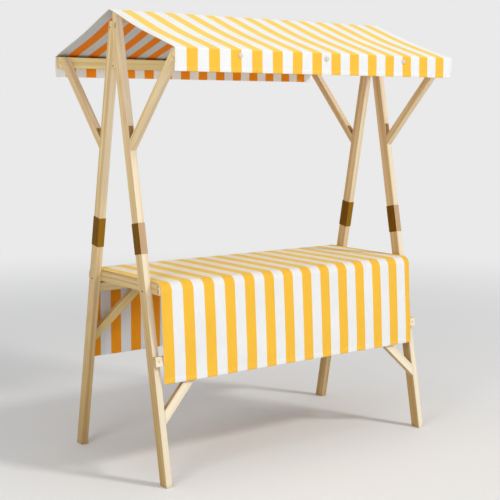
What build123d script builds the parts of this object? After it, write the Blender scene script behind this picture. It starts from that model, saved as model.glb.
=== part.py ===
from build123d import *
from math import acos, asin, atan2, cos, degrees, hypot, radians, sin, tan
import os

# Wooden market stall: two A-frames that carry a striped gable canopy on eave rails and
# braces, and a cloth-covered counter between the frames. Millimetres. The origin lies on
# the ground under the middle of the stall, the front faces -Y and the ridge runs along X.

# Overall sizes
stall_length = 1500.0            # canopy, from gable edge to gable edge
stall_height = 1940.0            # top of the canopy at the ridge
roof_depth = 1000.0              # over the outside of both valances
foot_spread = 780.0              # outside to outside of the feet, on the ground
counter_depth = 600.0
counter_height = 830.0           # top of the cloth

# A-frames
leg_width = 50.0                 # across the leg, seen from the gable
leg_thickness = 30.0             # along the stall
legs_meet_drop = 157.0           # ridge to where the inner edges of a pair of legs meet
apex_block_drop = 240.0          # ridge to the foot of the block between a pair of legs
rear_leg_drop = 48.0             # ridge to the level cut of the rear leg
frame_inset = 15.0               # gable edge of the canopy to the outside of the A-frame
eased_edge = 1.5

# Steel sleeves that join the two lengths of each leg
splice_height = 1002.0
sleeve_length = 128.0
sleeve_wall = 1.5
sleeve_edge_radius = 1.4

# Fabric
canopy_thickness = 3.0
cloth_thickness = 3.0
fabric_clearance = 0.3
roof_rise = 176.0                # ridge above the fold between roof and valance
valance_drop = 90.0
eave_fold_radius = 3.0

# Roof timbers
eave_rail_width = 34.0
eave_rail_height = 48.0
eave_rail_inset = 5.0            # gable edge of the canopy to the end of the rail
ridge_beam_width = 34.0
ridge_beam_height = 48.0
roof_brace_width = 34.0
roof_brace_drop = 402.0          # eave fold to the foot of the brace, on the leg's outer edge

# Bent steel brackets in the crotch between leg and roof brace
bracket_flange = 60.0
bracket_width = 20.0
bracket_steel = 2.0

# Round buttons through the valances into the eave rails
button_radius = 9.5
button_height = 4.0
button_edge_radius = 2.0
button_spacing = 446.0
buttons_per_valance = 3
button_drop = 24.0               # eave fold to the middle of the button

# Counter
counter_rail_height = 47.0
side_rail_thickness = 24.0
long_rail_thickness = 24.0
shoulder_radius = 36.0
board_count = 5
board_gap = 6.0
board_thickness = 12.0
batten_width = 30.0

# Stretchers on the outer faces of the legs, and the knee braces behind them
stretcher_height = 42.0
stretcher_thickness = 22.0
front_stretcher_height = 507.5   # middle of the stretcher's back face above the ground
rear_stretcher_gap = 14.5        # underside of the counter to the top of the stretcher
rear_stretcher_inset = 15.0      # outside of the A-frame to the end of the stretcher
knee_brace_width = 40.0
knee_brace_thickness = 24.0
knee_brace_angle = 45.0
knee_brace_reach = 281.0         # heel to top edge, up the slope of the legs

# Tablecloth
cloth_end_inset = 5.0            # A-frame to the edge of the cloth
cloth_hem_height = 415.0

# Heights that follow from the ridge and the counter
legs_meet_height = stall_height - legs_meet_drop
apex_block_foot = stall_height - apex_block_drop
rear_leg_height = stall_height - rear_leg_drop
eave_height = stall_height - roof_rise
roof_brace_foot_height = eave_height - roof_brace_drop
wood_top = counter_height - cloth_thickness - fabric_clearance

# Lean of the legs, from the foot spread and the height where the inner edges meet
foot_half = foot_spread / 2
lean = acos(leg_width / hypot(foot_half, legs_meet_height)) - atan2(legs_meet_height, foot_half)
leg_width_level = leg_width / cos(lean)
sleeve_outside_x = leg_thickness + 2 * sleeve_wall
sleeve_outside_y = leg_width + 2 * sleeve_wall

# Places along the stall
canopy_half_length = stall_length / 2
frame_outside = canopy_half_length - frame_inset
frame_inside = frame_outside - leg_thickness
rail_end_inside = frame_inside - side_rail_thickness
frame_start = {"left": -frame_outside, "right": frame_inside}
outward = {"front": -1, "rear": 1}

# Roof lines
roof_half_depth = roof_depth / 2
roof_slope = roof_rise / roof_half_depth
canopy_drop = canopy_thickness * hypot(1, roof_slope)


def outer_edge(height):
    """Distance of a leg's outer edge from the middle of the stall."""
    return foot_half - height * tan(lean)


def under_canopy(depth):
    """Highest place for a timber under the canopy."""
    return stall_height - depth * roof_slope - canopy_drop - fabric_clearance


def ease_long_edges(piece):
    """Take the sharpness off the four longest edges of a timber."""
    chamfer(piece.edges().sort_by(SortBy.LENGTH)[-4:], eased_edge)


def finish(piece, node):
    """Label a finished piece and write it."""
    piece.part.label = node
    export_step(piece.part, f"parts/{node}.step")


os.makedirs("parts", exist_ok=True)

# Legs. Each is one straight timber cut in two at the sleeve. The pair is mitred on the
# middle plane; the front leg runs up to the canopy, the rear leg is cut level below it.
front_top_depth = (foot_half - under_canopy(0) * tan(lean)) / (1 - roof_slope * tan(lean))
leg_tops = {
    "front": [(0, under_canopy(0)), (front_top_depth, under_canopy(front_top_depth))],
    "rear": [(0, rear_leg_height), (outer_edge(rear_leg_height), rear_leg_height)],
}

for side, x_start in frame_start.items():
    for end, out in outward.items():
        leg_axis = Vector(0, -out * sin(lean), cos(lean))
        foot_middle = Vector(x_start + leg_thickness / 2, out * (foot_half - leg_width_level / 2), 0)
        splice_middle = foot_middle + leg_axis * (splice_height / cos(lean))
        splice = Plane(splice_middle, x_dir=(1, 0, 0), z_dir=leg_axis)
        leg_outline = [(foot_half, 0), (foot_half - leg_width_level, 0), (0, legs_meet_height)]
        leg_outline += leg_tops[end]

        for length, kept in (("lower", Keep.BOTTOM), ("upper", Keep.TOP)):
            with BuildPart() as leg:
                with BuildSketch(Plane.YZ.offset(x_start)):
                    Polygon(*[(out * y, z) for y, z in leg_outline], align=None)
                extrude(amount=leg_thickness)
                ease_long_edges(leg)
                split(bisect_by=splice, keep=kept)
            finish(leg, f"{side}_{end}_leg_{length}")

        with BuildPart() as sleeve:
            with BuildSketch(splice):
                RectangleRounded(sleeve_outside_x, sleeve_outside_y, sleeve_edge_radius)
                Rectangle(leg_thickness, leg_width, mode=Mode.SUBTRACT)
            extrude(amount=sleeve_length / 2, both=True)
        finish(sleeve, f"{side}_{end}_leg_sleeve")

# Apex blocks fill the narrow fork where the inner edges of a pair of legs run together
fork_half_width = (legs_meet_height - apex_block_foot) * tan(lean)
block_outline = [(-fork_half_width, apex_block_foot), (fork_half_width, apex_block_foot),
                 (0, legs_meet_height)]
for side, x_start in frame_start.items():
    with BuildPart() as apex_block:
        with BuildSketch(Plane.YZ.offset(x_start)):
            Polygon(*block_outline, align=None)
        extrude(amount=leg_thickness)
    finish(apex_block, f"{side}_apex_block")

# Eave rails, close behind the valances and right under the roof cloth
rail_outside = roof_half_depth - canopy_thickness - fabric_clearance
rail_inside = rail_outside - eave_rail_width
rail_top = under_canopy(rail_outside)
rail_half_length = canopy_half_length - eave_rail_inset

for end, out in outward.items():
    with BuildPart() as eave_rail:
        with Locations((0, out * (rail_outside - eave_rail_width / 2), rail_top - eave_rail_height / 2)):
            Box(2 * rail_half_length, eave_rail_width, eave_rail_height)
        ease_long_edges(eave_rail)
    finish(eave_rail, f"{end}_eave_rail")

# Ridge beam between the A-frames, its top bevelled to both slopes
beam_side = ridge_beam_width / 2
beam_bottom = under_canopy(0) - ridge_beam_height
beam_outline = [(0, under_canopy(0)), (beam_side, under_canopy(beam_side)), (beam_side, beam_bottom),
                (-beam_side, beam_bottom), (-beam_side, under_canopy(beam_side))]
with BuildPart() as ridge_beam:
    with BuildSketch(Plane.YZ.offset(-frame_inside)):
        Polygon(*beam_outline, align=None)
    extrude(amount=2 * frame_inside)
finish(ridge_beam, "ridge_beam")

# Roof braces, in line with the legs, from a leg's outer edge up to the eave rail
foot_y = outer_edge(roof_brace_foot_height)
brace_slope = (rail_top - roof_brace_foot_height) / (rail_outside - foot_y)
brace_plumb_width = roof_brace_width * hypot(1, brace_slope)
brace_heel = roof_brace_foot_height + (rail_inside - foot_y) * brace_slope
crotch_z = ((roof_brace_foot_height + brace_plumb_width + (foot_half - foot_y) * brace_slope)
            / (1 + brace_slope * tan(lean)))
crotch = Vector(outer_edge(crotch_z), crotch_z)
brace_shoulder = crotch.X + (rail_top - crotch.Y) / brace_slope
brace_outline = [(foot_y, roof_brace_foot_height), (rail_inside, brace_heel), (rail_inside, rail_top),
                 (brace_shoulder, rail_top), (crotch.X, crotch.Y)]

# Bracket: one flange up the leg and one up the brace, bent where they meet
up_leg = Vector(-sin(lean), cos(lean))
up_brace = Vector(1, brace_slope).normalized()
off_leg = Vector(cos(lean), sin(lean)) * bracket_steel
off_brace = Vector(-up_brace.Y, up_brace.X) * bracket_steel
half_angle = radians(up_leg.get_angle(up_brace)) / 2
bend = crotch + (up_leg + up_brace).normalized() * (bracket_steel / sin(half_angle))
leg_tip = crotch + up_leg * bracket_flange
brace_tip = crotch + up_brace * bracket_flange
bracket_outline = [crotch, leg_tip, leg_tip + off_leg, bend, brace_tip + off_brace, brace_tip]

for side, x_start in frame_start.items():
    for end, out in outward.items():
        with BuildPart() as roof_brace:
            with BuildSketch(Plane.YZ.offset(x_start)):
                Polygon(*[(out * y, z) for y, z in brace_outline], align=None)
            extrude(amount=leg_thickness)
            ease_long_edges(roof_brace)
        finish(roof_brace, f"{side}_{end}_roof_brace")

        with BuildPart() as brace_bracket:
            with BuildSketch(Plane.YZ.offset(x_start + (leg_thickness - bracket_width) / 2)):
                Polygon(*[(out * p.X, p.Y) for p in bracket_outline], align=None)
            extrude(amount=bracket_width)
        finish(brace_bracket, f"{side}_{end}_brace_bracket")

# Side rails on the inner faces of the legs, with rounded shoulders for the cloth
counter_half = counter_depth / 2
long_rail_inside = counter_half - long_rail_thickness


def rail_outline(start_x):
    """Side view of a counter rail, as deep as the counter, with rounded upper corners."""
    with BuildSketch(Plane.YZ.offset(start_x)) as side_view:
        with Locations((0, wood_top - counter_rail_height / 2)):
            Rectangle(counter_depth, counter_rail_height)
        fillet(side_view.vertices().group_by(Axis.Y)[-1], shoulder_radius)
    return side_view.sketch


for side, start_x in (("left", -frame_inside), ("right", rail_end_inside)):
    with BuildPart() as side_rail:
        extrude(rail_outline(start_x), amount=side_rail_thickness)
    finish(side_rail, f"{side}_side_rail")

# Long rails between the side rails, rounded alike
for end, out in outward.items():
    with BuildPart() as long_rail:
        extrude(rail_outline(-rail_end_inside), amount=2 * rail_end_inside)
        with Locations((0, out * (counter_half - long_rail_thickness / 2), wood_top)):
            Box(2 * rail_end_inside, long_rail_thickness, 2 * counter_rail_height, mode=Mode.INTERSECT)
    finish(long_rail, f"{end}_counter_rail")

# Boards along the counter, kept to the flat between the shoulders, and their battens
boards_half_depth = min(counter_half - shoulder_radius, long_rail_inside - board_gap)
board_width = (2 * boards_half_depth - (board_count - 1) * board_gap) / board_count
with BuildPart() as counter_boards:
    with Locations((0, 0, wood_top - board_thickness / 2)):
        with GridLocations(0, board_width + board_gap, 1, board_count):
            Box(2 * rail_end_inside, board_width, board_thickness)
finish(counter_boards, "counter_boards")

batten_height = counter_rail_height - board_thickness
batten_end = rail_end_inside - batten_width / 2
for place, batten_x in (("left", -batten_end), ("middle", 0), ("right", batten_end)):
    with BuildPart() as batten:
        with Locations((batten_x, 0, wood_top - board_thickness - batten_height / 2)):
            Box(batten_width, 2 * long_rail_inside, batten_height)
    finish(batten, f"{place}_counter_batten")

# Stretchers and knee braces, drawn on the outer faces of a pair of legs: the first
# coordinate runs along the stall, the second up the slope of the legs.
rear_stretcher_top = wood_top - counter_rail_height - rear_stretcher_gap - stretcher_thickness * sin(lean)
stretcher_ends = {"front": frame_outside, "rear": frame_outside - rear_stretcher_inset}
stretcher_middles = {
    "front": front_stretcher_height / cos(lean),
    "rear": rear_stretcher_top / cos(lean) - stretcher_height / 2,
}
knee_angle = radians(knee_brace_angle)
knee_plumb_width = knee_brace_width / cos(knee_angle)

for end, out in outward.items():
    leg_face = Plane((0, out * foot_half, 0), x_dir=(-out, 0, 0), z_dir=(0, out * cos(lean), sin(lean)))
    with BuildPart() as stretcher:
        with BuildSketch(leg_face):
            with Locations((0, stretcher_middles[end])):
                Rectangle(2 * stretcher_ends[end], stretcher_height)
        extrude(amount=stretcher_thickness)
        ease_long_edges(stretcher)
    finish(stretcher, f"{end}_stretcher")

    knee_top = stretcher_middles[end] + stretcher_height / 2
    knee_heel = knee_top - knee_brace_reach
    knee_outline = [
        (frame_inside, knee_heel),
        (frame_inside, knee_heel + knee_plumb_width),
        (frame_inside - (knee_brace_reach - knee_plumb_width) / tan(knee_angle), knee_top),
        (frame_inside - knee_brace_reach / tan(knee_angle), knee_top),
    ]
    for side, towards in (("left", -1), ("right", 1)):
        with BuildPart() as knee_brace:
            with BuildSketch(leg_face):
                Polygon(*[(-out * towards * along, up) for along, up in knee_outline], align=None)
            extrude(amount=-knee_brace_thickness)
            ease_long_edges(knee_brace)
        finish(knee_brace, f"{side}_{end}_knee_brace")

# Canopy: one sheet over the ridge with a straight valance below each eave
valance_bottom = eave_height - valance_drop
inner_half_depth = roof_half_depth - canopy_thickness
canopy_outside = [(-roof_half_depth, valance_bottom), (-roof_half_depth, eave_height), (0, stall_height),
                  (roof_half_depth, eave_height), (roof_half_depth, valance_bottom)]
inner_fold = stall_height - inner_half_depth * roof_slope - canopy_drop
canopy_inside = [(inner_half_depth, valance_bottom), (inner_half_depth, inner_fold),
                 (0, stall_height - canopy_drop),
                 (-inner_half_depth, inner_fold), (-inner_half_depth, valance_bottom)]
with BuildPart() as canopy:
    with BuildSketch(Plane.YZ.offset(-canopy_half_length)):
        Polygon(*canopy_outside, *canopy_inside, align=None)
    extrude(amount=stall_length)
    eave_folds = canopy.edges().filter_by(Axis.X).filter_by_position(Axis.Z, eave_height, eave_height)
    fillet(eave_folds, eave_fold_radius)
finish(canopy, "canopy")

# Buttons on the outside of the valances
for end, out in outward.items():
    button_row = (0, out * roof_half_depth, eave_height - button_drop)
    valance_face = Plane(button_row, x_dir=(-out, 0, 0), z_dir=(0, out, 0))
    with BuildPart() as buttons:
        with BuildSketch(valance_face):
            with GridLocations(button_spacing, 0, buttons_per_valance, 1):
                Circle(button_radius)
        extrude(amount=button_height)
        fillet(buttons.faces().group_by(Axis.Y)[0 if out < 0 else -1].edges(), button_edge_radius)
    finish(buttons, f"{end}_valance_buttons")

# Tablecloth: one sheet over the counter. A drape hangs plumb unless a stretcher or a knee
# brace pushes it out, as the front stretcher does.
shoulder_y = counter_half - shoulder_radius
shoulder_z = wood_top - shoulder_radius
inner_radius = shoulder_radius + fabric_clearance
outer_radius = inner_radius + cloth_thickness


def slant_past(corner_y, corner_z):
    """Slant of a drape that leaves the shoulder and just clears a corner."""
    past, below = corner_y - shoulder_y, shoulder_z - corner_z
    return atan2(past, below) - asin(inner_radius / hypot(past, below))


slants = {}
drape_turns = {}
for end in outward:
    low = stretcher_middles[end] - stretcher_height / 2
    low_y = foot_half - low * sin(lean) + stretcher_thickness * cos(lean) + fabric_clearance
    low_z = low * cos(lean) + stretcher_thickness * sin(lean)
    knee_heel = stretcher_middles[end] + stretcher_height / 2 - knee_brace_reach
    knee_z = max(knee_heel * cos(lean), cloth_hem_height)
    knee_y = outer_edge(knee_z) + fabric_clearance
    slants[end] = max(0, slant_past(low_y, low_z), slant_past(knee_y, knee_z))
    drape_turns[end] = 90 - degrees(slants[end])


def drape(end, radius):
    """Where one face of a drape leaves the shoulder, and its hem."""
    start_y = shoulder_y + radius * cos(slants[end])
    start_z = shoulder_z + radius * sin(slants[end])
    hem_y = start_y + (start_z - cloth_hem_height) * tan(slants[end])
    return (outward[end] * start_y, start_z), (outward[end] * hem_y, cloth_hem_height)


cloth_half_length = frame_inside - cloth_end_inset
with BuildPart() as tablecloth:
    with BuildSketch(Plane.YZ.offset(-cloth_half_length)):
        with BuildLine():
            for radius in (inner_radius, outer_radius):
                Line(*drape("rear", radius))
                CenterArc((shoulder_y, shoulder_z), radius, degrees(slants["rear"]), drape_turns["rear"])
                Line((shoulder_y, shoulder_z + radius), (-shoulder_y, shoulder_z + radius))
                CenterArc((-shoulder_y, shoulder_z), radius, 90, drape_turns["front"])
                Line(*drape("front", radius))
            for end in outward:
                Line(drape(end, inner_radius)[1], drape(end, outer_radius)[1])
        make_face()
    extrude(amount=2 * cloth_half_length)
finish(tablecloth, "tablecloth")
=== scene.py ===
"""Looks of the wooden market stall: pine timbers, brown steel, striped canvas, screws and stitching."""

import math

import bpy
from mathutils import Matrix, Vector


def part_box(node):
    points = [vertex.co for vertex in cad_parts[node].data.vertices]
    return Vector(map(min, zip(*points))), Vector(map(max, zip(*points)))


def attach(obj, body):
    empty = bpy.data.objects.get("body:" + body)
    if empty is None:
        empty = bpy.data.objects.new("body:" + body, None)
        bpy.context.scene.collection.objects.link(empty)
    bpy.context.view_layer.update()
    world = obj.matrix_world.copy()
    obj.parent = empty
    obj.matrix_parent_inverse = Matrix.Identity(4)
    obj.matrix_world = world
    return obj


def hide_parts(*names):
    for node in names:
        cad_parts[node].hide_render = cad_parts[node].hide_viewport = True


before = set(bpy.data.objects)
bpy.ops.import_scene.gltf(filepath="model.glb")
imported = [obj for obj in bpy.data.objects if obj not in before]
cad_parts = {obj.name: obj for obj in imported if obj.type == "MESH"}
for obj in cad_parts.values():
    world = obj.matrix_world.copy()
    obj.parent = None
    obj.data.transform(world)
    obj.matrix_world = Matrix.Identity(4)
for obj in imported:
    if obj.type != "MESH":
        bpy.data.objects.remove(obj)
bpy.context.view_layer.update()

# Sizes, in metres.
MM = 0.001

canopy_lo, canopy_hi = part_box("canopy")
cloth_lo, cloth_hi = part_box("tablecloth")
rail_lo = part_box("front_eave_rail")[0]
side_rail_lo, side_rail_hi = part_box("left_side_rail")
stretcher_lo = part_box("front_stretcher")[0]
leg_lo, leg_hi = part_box("left_front_leg_lower")

solid_sheet = 3.0 * MM          # thickness of the solids that stand for the fabric
roof_rise = 176.0 * MM          # ridge above the eaves
canvas_thickness = 1.4 * MM
hem_extra = 1.0 * MM            # a hem is the canvas folded over itself
hem_step = 1.6 * MM             # over this width a hem's thickness ends
stitch_from_fold = 3.2 * MM     # a row of stitches keeps this far from the inner edge of its hem
canopy_stripes = 29
stripe_width_canopy = (canopy_hi.x - canopy_lo.x) / canopy_stripes
stripe_width_cloth = 52.7 * MM
button_spacing = 446.0 * MM
leg_lean = math.radians(10.77)
leg_width = 50.0 * MM

outward = {"front": -1, "rear": 1}
towards = {"left": -1, "right": 1}

# Colours, as linear light.
CANVAS_WHITE = (0.895, 0.905, 0.915, 1.0)
CANVAS_YELLOW = (0.985, 0.560, 0.050, 1.0)
# Tabletop: canvas colours with painted light, warmed as by sun shining through the yellow roof.
COUNTER_PAINTED_LIGHT_WHITE = (1.000, 0.935, 0.800, 1.0)
COUNTER_PAINTED_LIGHT_YELLOW = (1.000, 0.650, 0.050, 1.0)
# Roof slopes: canvas colours with painted light, the yellow paled by painted glare and the white a touch
# darker.
ROOF_PAINTED_LIGHT_WHITE = (0.880, 0.885, 0.880, 1.0)
ROOF_PAINTED_LIGHT_YELLOW = (0.985, 0.655, 0.110, 1.0)
# Underside of the roof: painted shade, the white greyed and the yellow deepened to burnt orange as by light
# shining through.
ROOF_UNDER_PAINTED_SHADE_WHITE = (0.560, 0.590, 0.600, 1.0)
ROOF_UNDER_PAINTED_SHADE_ORANGE = (0.820, 0.215, 0.004, 1.0)
# Inner faces of the valances: painted light, a cool white and an orange glow as of sun through the canvas.
VALANCE_UNDER_PAINTED_LIGHT_WHITE = (0.930, 0.975, 1.000, 1.0)
VALANCE_UNDER_PAINTED_LIGHT_ORANGE = (0.980, 0.315, 0.006, 1.0)
# Underside of the tablecloth: painted shade, a bluish white and a deeper orange.
CLOTH_UNDER_PAINTED_SHADE_WHITE = (0.820, 0.885, 0.960, 1.0)
CLOTH_UNDER_PAINTED_SHADE_ORANGE = (0.950, 0.360, 0.012, 1.0)
CANVAS_SHEEN = (1.000, 0.980, 0.800, 1.0)
PINE_PALE = (0.850, 0.665, 0.365, 1.0)
PINE_TAN = (0.590, 0.385, 0.155, 1.0)
PINE_PINK = (0.690, 0.430, 0.225, 1.0)
PINE_RING = (0.600, 0.360, 0.160, 1.0)
PINE_FIBRE = (0.520, 0.340, 0.170, 1.0)
# Painted sunlight on the faces of the pine that look front and back.
PINE_PAINTED_SUNLIT = (0.940, 0.860, 0.690, 1.0)
# Darker toward the ground.
PINE_DARKER_LOW = (0.760, 0.700, 0.540, 1.0)
# Painted sunlight on the faces of the eave rails that look front and back.
PINE_EAVE_PAINTED_SUNLIT = (1.000, 1.000, 0.510, 1.0)
# Painted light on the faces of the stretchers that look in, yellower than on those that look out.
PINE_INNER_PAINTED_LIGHT = (1.000, 0.920, 0.560, 1.0)
PINE_SHADED = (0.780, 0.640, 0.300, 1.0)
KNOT_BROWN = (0.250, 0.105, 0.035, 1.0)
SOIL_BROWN = (0.200, 0.170, 0.100, 1.0)
STEEL_BROWN = (0.140, 0.058, 0.004, 1.0)
STEEL_LIGHT = (0.220, 0.098, 0.004, 1.0)
STEEL_WORN = (0.270, 0.125, 0.010, 1.0)
# Painted highlight on the faces of the sleeves that look out.
STEEL_PAINTED_HIGHLIGHT = (0.700, 0.480, 0.290, 1.0)
# Mid brown: the darker tone of the brackets, and painted light on the faces of the sleeves that look in.
STEEL_MID_AND_PAINTED_LIGHT = (0.300, 0.150, 0.012, 1.0)
STEEL_BRACKET = (0.440, 0.300, 0.130, 1.0)
STEEL_GLOSS = (1.000, 0.700, 0.350, 1.0)
THREAD_PALE = (0.860, 0.840, 0.780, 1.0)
THREAD_SHADE = (0.620, 0.580, 0.500, 1.0)
SCREW_DARK = (0.060, 0.048, 0.040, 1.0)
SCREW_WORN = (0.280, 0.240, 0.200, 1.0)
BRASS_BRIGHT = (0.760, 0.610, 0.400, 1.0)
BRASS_DULL = (0.580, 0.420, 0.250, 1.0)
BUTTON_PALE = (0.800, 0.730, 0.610, 1.0)
BUTTON_CLOUD = (0.660, 0.570, 0.430, 1.0)
FLOOR_PALE = (0.860, 0.858, 0.852, 1.0)
BACKGROUND = (0.820, 0.822, 0.820, 1.0)
AMBIENT = (0.950, 0.970, 1.000, 1.0)
AMBIENT_STRENGTH = 0.50


# Shader node helpers.
class Nodes:
    """Adds nodes to one tree and links them, so that a material reads as a list of steps."""

    mix_inputs, mix_output = (0, 6, 7), 2       # a colour mix: its factor and two colours, and its result

    def __init__(self, tree):
        self.tree = tree

    def add(self, kind, **settings):
        node = self.tree.nodes.new(kind)
        for name, value in settings.items():
            setattr(node, name, value)
        return node

    def feed(self, socket, value):
        if isinstance(value, bpy.types.NodeSocket):
            self.tree.links.new(value, socket)
        else:
            socket.default_value = value

    def math(self, operation, a, b=0.0, c=0.0):
        node = self.add("ShaderNodeMath", operation=operation)
        for socket, value in zip(node.inputs, (a, b, c)):
            self.feed(socket, value)
        return node.outputs[0]

    def vector_math(self, operation, a, b=(0.0, 0.0, 0.0)):
        node = self.add("ShaderNodeVectorMath", operation=operation)
        self.feed(node.inputs[0], a)
        self.feed(node.inputs[1], b)
        return node.outputs["Value" if operation == "DOT_PRODUCT" else "Vector"]

    def combine(self, x, y, z):
        node = self.add("ShaderNodeCombineXYZ")
        for socket, value in zip(node.inputs, (x, y, z)):
            self.feed(socket, value)
        return node.outputs[0]

    def noise(self, vector, scale, detail=2.0, roughness=0.5, distortion=0.0):
        node = self.add("ShaderNodeTexNoise")
        self.feed(node.inputs["Vector"], vector)
        self.feed(node.inputs["Scale"], scale)
        self.feed(node.inputs["Detail"], detail)
        self.feed(node.inputs["Roughness"], roughness)
        self.feed(node.inputs["Distortion"], distortion)
        return node.outputs["Fac"]

    def remap(self, value, low, high, to_low=0.0, to_high=1.0, smooth=False):
        node = self.add("ShaderNodeMapRange")
        node.interpolation_type = "SMOOTHSTEP" if smooth else "LINEAR"
        for name, item in (("Value", value), ("From Min", low), ("From Max", high),
                           ("To Min", to_low), ("To Max", to_high)):
            self.feed(node.inputs[name], item)
        return node.outputs["Result"]

    def mix(self, factor, a, b, blend="MIX"):
        node = self.add("ShaderNodeMix", data_type="RGBA", blend_type=blend)
        for index, value in zip(self.mix_inputs, (factor, a, b)):
            self.feed(node.inputs[index], value)
        return node.outputs[self.mix_output]


def node_group(name, inputs, outputs):
    """An empty shader node group with named sockets, with its helper and what it takes and gives."""
    group = bpy.data.node_groups.new(name, "ShaderNodeTree")
    for label, kind, default in inputs:
        socket = group.interface.new_socket(label, in_out="INPUT", socket_type=kind)
        socket.default_value = default
    for label, kind in outputs:
        group.interface.new_socket(label, in_out="OUTPUT", socket_type=kind)
    nodes = Nodes(group)
    return group, nodes, nodes.add("NodeGroupInput").outputs, nodes.add("NodeGroupOutput").inputs


def new_material(name):
    """A new material, with the helper that adds its nodes and its shader's sockets."""
    material = bpy.data.materials.new(name)
    material.use_nodes = True
    material.node_tree.nodes.clear()
    nodes = Nodes(material.node_tree)
    nodes.shader = nodes.add("ShaderNodeBsdfPrincipled")
    nodes.output = nodes.add("ShaderNodeOutputMaterial")
    nodes.feed(nodes.output.inputs[0], nodes.shader.outputs[0])
    return material, nodes, nodes.shader.inputs


def place_group(nodes, group, **values):
    """One use of a shader node group; underscores in a value's name stand for spaces."""
    node = nodes.add("ShaderNodeGroup", node_tree=group)
    for name, value in values.items():
        nodes.feed(node.inputs[name.replace("_", " ")], value)
    return node.outputs


def bump(nodes, height, distance, strength):
    """Normal of a surface raised by a height, with its depth in metres."""
    node = nodes.add("ShaderNodeBump")
    nodes.feed(node.inputs["Height"], height)
    node.inputs["Distance"].default_value = distance
    node.inputs["Strength"].default_value = strength
    return node.outputs["Normal"]


# Shared effects.
FLOAT, VECTOR = "NodeSocketFloat", "NodeSocketVector"


def make_pine_grain():
    """Growth rings, fibres, tinted streaks and a few pin knots, all drawn out along one axis."""
    group, n, given, out = node_group(
        "pine_grain",
        [("Along", VECTOR, (1, 0, 0)), ("Across", VECTOR, (0, 1, 0)), ("Through", VECTOR, (0, 0, 1))],
        [("Streaks", FLOAT), ("Pink", FLOAT), ("Rings", FLOAT), ("Fibres", FLOAT), ("Knots", FLOAT)],
    )
    place = n.add("ShaderNodeTexCoord").outputs["Object"]
    along, across, through = (n.vector_math("DOT_PRODUCT", place, given[k])
                              for k in ("Along", "Across", "Through"))

    def stretched(per_metre_along, per_metre_across):
        return n.combine(n.math("MULTIPLY", along, per_metre_along),
                         n.math("MULTIPLY", across, per_metre_across),
                         n.math("MULTIPLY", through, per_metre_across))

    knot = n.add("ShaderNodeTexVoronoi", feature="F1")
    n.feed(knot.inputs["Vector"], stretched(4.6, 7.0))
    knot.inputs["Scale"].default_value = 1.0
    knot_here = n.math("GREATER_THAN", n.vector_math("DOT_PRODUCT", knot.outputs["Color"], (1, 0, 0)), 0.72)
    near = n.remap(knot.outputs["Distance"], 0.055, 0.030, smooth=True)
    halo = n.remap(knot.outputs["Distance"], 0.30, 0.02, smooth=True)
    n.feed(out["Knots"], n.math("MULTIPLY", near, knot_here))

    field = n.noise(stretched(0.55, 9.0), 1.0, detail=1.2, distortion=0.15)
    field = n.math("MULTIPLY_ADD", n.math("MULTIPLY", halo, knot_here), 0.10, field)
    wobble = n.noise(stretched(3.0, 40.0), 1.0, detail=1.0)
    phase = n.math("MULTIPLY_ADD", wobble, 0.018, field)
    waves = n.math("SINE", n.math("MULTIPLY", phase, 2 * math.pi * 26))
    n.feed(out["Rings"], n.math("POWER", n.remap(waves, -1.0, 1.0), 2.2))

    n.feed(out["Streaks"], n.remap(n.noise(stretched(0.9, 80.0), 1.0, detail=3.0), 0.38, 0.62))
    n.feed(out["Pink"], n.remap(n.noise(stretched(0.7, 22.0), 1.3, detail=2.0), 0.50, 0.68, smooth=True))
    n.feed(out["Fibres"], n.noise(stretched(7.0, 620.0), 1.0, detail=2.5, roughness=0.6))
    return group


def make_ground_soil():
    """Damp and soil just above the ground, and a mask for darkening that grows toward the ground from higher
    up.
    """
    group, n, given, out = node_group("ground_soil", [("Reach", FLOAT, 0.05)],
                                      [("Mask", FLOAT), ("Darker Low", FLOAT)])
    place = n.add("ShaderNodeTexCoord").outputs["Object"]
    height = n.vector_math("DOT_PRODUCT", place, (0, 0, 1))
    ragged = n.math("MULTIPLY_ADD", n.noise(place, 60.0, detail=3.0), 0.05, height)
    low = n.remap(n.math("DIVIDE", ragged, given["Reach"]), 1.3, 0.4, smooth=True)
    n.feed(out["Mask"], low)
    n.feed(out["Darker Low"], n.remap(ragged, 1.45, 0.10, smooth=True))
    return group


def make_canvas_weave():
    """Stripes with a woven edge, a plain weave of round threads, and the slight unevenness of cotton."""
    group, n, given, out = node_group(
        "canvas_weave",
        [("Stripe Start", FLOAT, 0.0), ("Stripe Width", FLOAT, 0.05), ("First Coloured", FLOAT, 0.0)],
        [("Stripe", FLOAT), ("Threads", FLOAT), ("Slubs", FLOAT), ("Fade", FLOAT)],
    )
    place = n.add("ShaderNodeUVMap", uv_map="cloth_metres").outputs[0]
    split = n.add("ShaderNodeSeparateXYZ")
    n.feed(split.inputs[0], place)
    u, v = split.outputs["X"], split.outputs["Y"]

    ragged = n.math("MULTIPLY_ADD", n.math("SUBTRACT", n.noise(place, 900.0, detail=1.0), 0.5), 0.0012, u)
    count = n.math("DIVIDE", n.math("SUBTRACT", ragged, given["Stripe Start"]), given["Stripe Width"])
    count = n.math("ADD", count, given["First Coloured"])
    wave = n.math("SINE", n.math("MULTIPLY", count, math.pi))
    n.feed(out["Stripe"], n.remap(wave, 0.045, -0.045, smooth=True))

    threads_per_metre = 900.0
    warp = n.math("SINE", n.math("MULTIPLY", u, 2 * math.pi * threads_per_metre))
    weft = n.math("SINE", n.math("MULTIPLY", v, 2 * math.pi * threads_per_metre))
    n.feed(out["Threads"], n.math("MULTIPLY", warp, weft))
    drawn = n.vector_math("MULTIPLY", place, (420.0, 16.0, 1.0))
    n.feed(out["Slubs"], n.noise(drawn, 1.0, detail=3.0, roughness=0.6))
    n.feed(out["Fade"], n.noise(place, 5.0, detail=3.0))
    return group


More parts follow.
